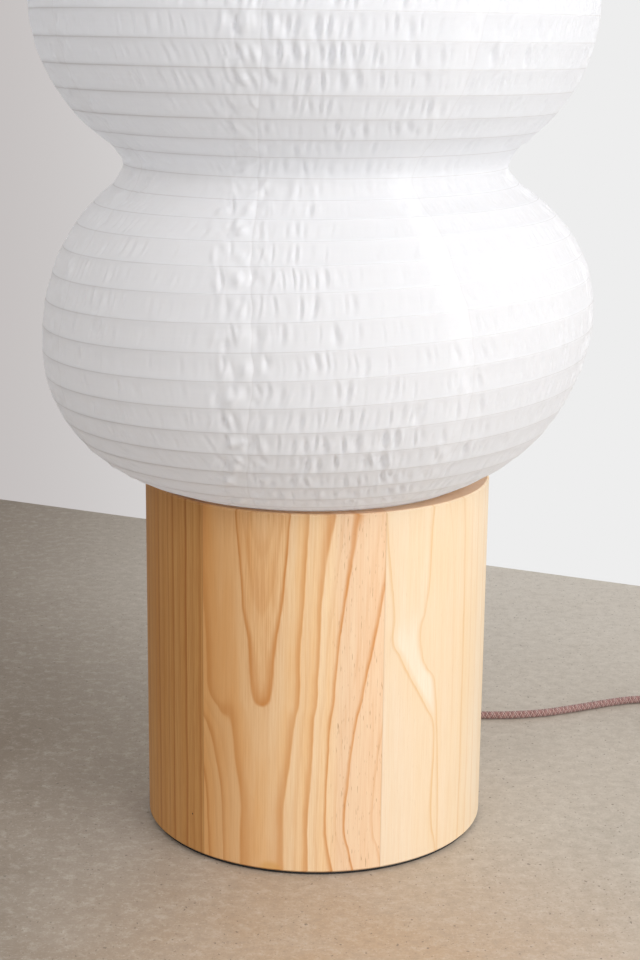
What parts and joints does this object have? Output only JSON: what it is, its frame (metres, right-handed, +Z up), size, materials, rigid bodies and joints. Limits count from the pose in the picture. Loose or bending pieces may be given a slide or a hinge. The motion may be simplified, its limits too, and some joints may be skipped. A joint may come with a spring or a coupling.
{
  "type": "floor lamp",
  "caption": "Floor lamp with a ribbed white cloth lantern of stacked round bubbles standing on a drum of glued pine staves, with a braided cord, foot switch and plug",
  "frame": {"origin": "centre of the drum's underside, on the floor", "axes": "+Z is up along the pole; -Y points at the viewer; +X is the viewer's right, the side that the cord is led to"},
  "size_m": [0.6671, 0.4546, 1.0165],
  "materials": {
    "pine": "pale glued pine, planed and oiled, satin",
    "board": "pine board with its end grain in view, matte",
    "foam": "black closed-cell foam, matte",
    "ballast": "dark iron, as cast",
    "zinc_screws": "zinc plated",
    "black_steel": "blackened",
    "white_plastic": "off-white moulding, fine matte grain",
    "switch_plastic": "off-white moulding, satin",
    "braid": "braided sleeve, pink, brown and white threads",
    "white_lead": "white sheath, matte",
    "nickel": "satin nickel plated",
    "holder_shell": "white phenolic shell, satin",
    "porcelain": "white porcelain, unglazed at its rim",
    "opal_glass": "opal white, smooth",
    "bulb_cap": "pressed, bright",
    "cloth": "thin white stretch cloth, slightly see-through, puckered between the ribs",
    "rib_wire": "white coated wire",
    "ring_wire": "white coated",
    "brass": "bright",
    "spring_steel": "drawn wire"
  },
  "bodies": {
    "root": {"stave_1": "pine", "stave_2": "pine", "stave_3": "pine", "stave_4": "pine", "stave_5": "pine", "stave_6": "pine", "top_board": "board", "bottom_board": "board", "base_screws": "zinc_screws", "ballast_plate": "ballast", "ballast_screws": "zinc_screws", "foot_pad": "foam", "cord_gland": "white_plastic", "base_lead": "white_lead", "cord_clip": "white_plastic", "clip_screws": "zinc_screws", "pole_flange": "nickel", "flange_screws": "zinc_screws", "set_screws": "black_steel", "pole": "nickel", "pole_stud": "nickel", "pole_cable": "white_lead", "holder_leads": "white_lead", "lamp_bracket_1": "nickel", "lamp_bracket_2": "nickel", "lamp_bracket_3": "nickel", "lampholder_1": "holder_shell", "lampholder_2": "holder_shell", "lampholder_3": "holder_shell", "holder_inserts": "porcelain", "holder_nuts": "nickel", "bulb_caps": "bulb_cap", "bulb_1": "opal_glass", "bulb_2": "opal_glass", "bulb_3": "opal_glass", "cord_lead": "braid", "cord_link": "braid", "cord_coil": "braid", "cord_tail": "braid", "plug_body": "white_plastic", "plug_blades": "brass", "switch_base": "switch_plastic", "switch_cover": "switch_plastic", "switch_screws": "zinc_screws", "switch_spring": "spring_steel"},
    "lantern": {"gore_1": "cloth", "gore_2": "cloth", "gore_3": "cloth", "gore_4": "cloth", "gore_5": "cloth", "gore_6": "cloth", "gore_7": "cloth", "gore_8": "cloth", "rib_hoops": "rib_wire", "bottom_ring": "ring_wire", "top_ring": "ring_wire", "top_strap": "nickel"},
    "finial": {"finial": "nickel"},
    "foot_button": {"foot_button": "switch_plastic"}
  },
  "joints": [
    {"name": "lantern_lift", "type": "slide", "parent": "root", "child": "lantern", "axis": [0, 0, 1], "range_m": [0, 0.75]},
    {"name": "finial_turn", "type": "hinge", "parent": "lantern", "child": "finial", "pos_m": [0, 0, 1.003], "axis": [0, 0, 1], "continuous": true},
    {"name": "foot_switch_press", "type": "slide", "parent": "root", "child": "foot_button", "axis": [0, 0, -1], "range_m": [0, 0.0035], "stiffness_N_per_m": 3000, "deforming": ["switch_spring"]}
  ]
}
